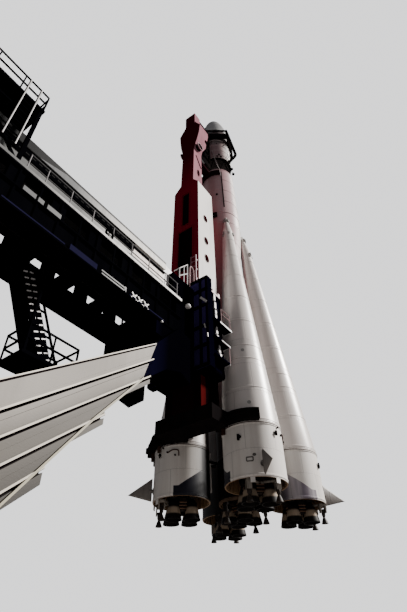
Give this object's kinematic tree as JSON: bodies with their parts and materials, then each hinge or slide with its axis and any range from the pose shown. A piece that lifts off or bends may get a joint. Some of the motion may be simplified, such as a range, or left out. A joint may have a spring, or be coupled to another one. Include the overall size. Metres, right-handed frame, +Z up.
{
  "type": "space rocket on display stand, 1:2 scale model",
  "caption": "Tall launch rocket with conical boosters, steerable engine chambers and fins, gripped by a mast on a gantry beam with ribbed legs and a slab.",
  "frame": {"origin": "centre of the foundation slab's underside, on the floor", "axes": "+Z up along the rocket, +X from the gantry beam towards the rocket, +Y across the beam"},
  "size_m": [13.5, 5.2, 21.55],
  "materials": {
    "rocket_skin": "satin warm white paint over riveted panels",
    "nose_grey": "satin mid grey paint",
    "black_steel": "dull black paint",
    "engine_metal": "dull heat-stained steel",
    "fin_grey": "satin grey paint",
    "mast_red": "satin deep red paint",
    "stand_navy": "satin dark blue paint",
    "deck_grey": "light grey paint",
    "leg_grey": "matt warm grey paint",
    "slab_grey": "plain cast concrete"
  },
  "bodies": {
    "root": {"core_lower": "rocket_skin", "core_upper": "rocket_skin", "core_tail": "rocket_skin", "upper_stage": "rocket_skin", "fairing_barrel": "rocket_skin", "nose_fairing": "nose_grey", "interstage_truss": "black_steel", "core_engine": "engine_metal", "booster_a_body": "rocket_skin", "booster_a_tail": "rocket_skin", "booster_a_engine": "engine_metal", "booster_b_body": "rocket_skin", "booster_b_tail": "rocket_skin", "booster_b_engine": "engine_metal", "booster_c_body": "rocket_skin", "booster_c_tail": "rocket_skin", "booster_c_engine": "engine_metal", "booster_d_body": "rocket_skin", "booster_d_tail": "rocket_skin", "booster_d_engine": "engine_metal", "mast_foot": "mast_red", "mast_column": "mast_red", "mast_neck": "mast_red", "mast_head": "mast_red", "mast_ladder": "mast_red", "upper_clamp": "black_steel", "lower_clamp": "black_steel", "grip_frame": "black_steel", "tail_cradle": "black_steel", "carriage": "stand_navy", "girder_1": "stand_navy", "girder_2": "stand_navy", "beam_floor": "stand_navy", "leg_saddle": "stand_navy", "rear_platform": "stand_navy", "stairs": "stand_navy", "beam_deck": "deck_grey", "beam_box": "deck_grey", "handrail_1": "deck_grey", "handrail_2": "deck_grey", "leg_1": "leg_grey", "leg_2": "leg_grey", "slab": "slab_grey"},
    "core_steering_1": {"core_steering_1": "engine_metal"},
    "core_steering_2": {"core_steering_2": "engine_metal"},
    "core_steering_3": {"core_steering_3": "engine_metal"},
    "core_steering_4": {"core_steering_4": "engine_metal"},
    "booster_a_steering_1": {"booster_a_steering_1": "engine_metal"},
    "booster_a_steering_2": {"booster_a_steering_2": "engine_metal"},
    "booster_a_fin": {"booster_a_fin": "fin_grey"},
    "booster_b_steering_1": {"booster_b_steering_1": "engine_metal"},
    "booster_b_steering_2": {"booster_b_steering_2": "engine_metal"},
    "booster_b_fin": {"booster_b_fin": "fin_grey"},
    "booster_c_steering_1": {"booster_c_steering_1": "engine_metal"},
    "booster_c_steering_2": {"booster_c_steering_2": "engine_metal"},
    "booster_c_fin": {"booster_c_fin": "fin_grey"},
    "booster_d_steering_1": {"booster_d_steering_1": "engine_metal"},
    "booster_d_steering_2": {"booster_d_steering_2": "engine_metal"},
    "booster_d_fin": {"booster_d_fin": "fin_grey"}
  },
  "joints": [
    {"name": "core_steer_1", "type": "hinge", "parent": "root", "child": "core_steering_1", "pos_m": [5.175, 0, 2.79], "axis": [1, 0, 0], "range_deg": [-35, 35]},
    {"name": "core_steer_2", "type": "hinge", "parent": "root", "child": "core_steering_2", "pos_m": [4.55, 0.625, 2.79], "axis": [0, 1, 0], "range_deg": [-35, 35]},
    {"name": "core_steer_3", "type": "hinge", "parent": "root", "child": "core_steering_3", "pos_m": [3.925, 0, 2.79], "axis": [-1, 0, 0], "range_deg": [-35, 35]},
    {"name": "core_steer_4", "type": "hinge", "parent": "root", "child": "core_steering_4", "pos_m": [4.55, -0.625, 2.79], "axis": [0, -1, 0], "range_deg": [-35, 35]},
    {"name": "booster_a_steer_1", "type": "hinge", "parent": "root", "child": "booster_a_steering_1", "pos_m": [3.42429, -1.55422, 2.85], "axis": [-0.7071, -0.7071, 0], "range_deg": [-45, 45]},
    {"name": "booster_a_steer_2", "type": "hinge", "parent": "root", "child": "booster_a_steering_2", "pos_m": [2.99578, -1.12571, 2.85], "axis": [-0.7071, -0.7071, 0], "range_deg": [-45, 45]},
    {"name": "booster_a_fin_turn", "type": "hinge", "parent": "root", "child": "booster_a_fin", "pos_m": [3.06861, -1.48139, 3.26], "axis": [-0.7071, -0.7071, 0], "range_deg": [-20, 20]},
    {"name": "booster_b_steer_1", "type": "hinge", "parent": "root", "child": "booster_b_steering_1", "pos_m": [2.99578, 1.12571, 2.85], "axis": [-0.7071, 0.7071, 0], "range_deg": [-45, 45]},
    {"name": "booster_b_steer_2", "type": "hinge", "parent": "root", "child": "booster_b_steering_2", "pos_m": [3.42429, 1.55422, 2.85], "axis": [-0.7071, 0.7071, 0], "range_deg": [-45, 45]},
    {"name": "booster_b_fin_turn", "type": "hinge", "parent": "root", "child": "booster_b_fin", "pos_m": [3.06861, 1.48139, 3.26], "axis": [-0.7071, 0.7071, 0], "range_deg": [-20, 20]},
    {"name": "booster_c_steer_1", "type": "hinge", "parent": "root", "child": "booster_c_steering_1", "pos_m": [5.67571, 1.55422, 2.85], "axis": [0.7071, 0.7071, 0], "range_deg": [-45, 45]},
    {"name": "booster_c_steer_2", "type": "hinge", "parent": "root", "child": "booster_c_steering_2", "pos_m": [6.10422, 1.12571, 2.85], "axis": [0.7071, 0.7071, 0], "range_deg": [-45, 45]},
    {"name": "booster_c_fin_turn", "type": "hinge", "parent": "root", "child": "booster_c_fin", "pos_m": [6.03139, 1.48139, 3.26], "axis": [0.7071, 0.7071, 0], "range_deg": [-20, 20]},
    {"name": "booster_d_steer_1", "type": "hinge", "parent": "root", "child": "booster_d_steering_1", "pos_m": [6.10422, -1.12571, 2.85], "axis": [0.7071, -0.7071, 0], "range_deg": [-45, 45]},
    {"name": "booster_d_steer_2", "type": "hinge", "parent": "root", "child": "booster_d_steering_2", "pos_m": [5.67571, -1.55422, 2.85], "axis": [0.7071, -0.7071, 0], "range_deg": [-45, 45]},
    {"name": "booster_d_fin_turn", "type": "hinge", "parent": "root", "child": "booster_d_fin", "pos_m": [6.03139, -1.48139, 3.26], "axis": [0.7071, -0.7071, 0], "range_deg": [-20, 20]}
  ]
}
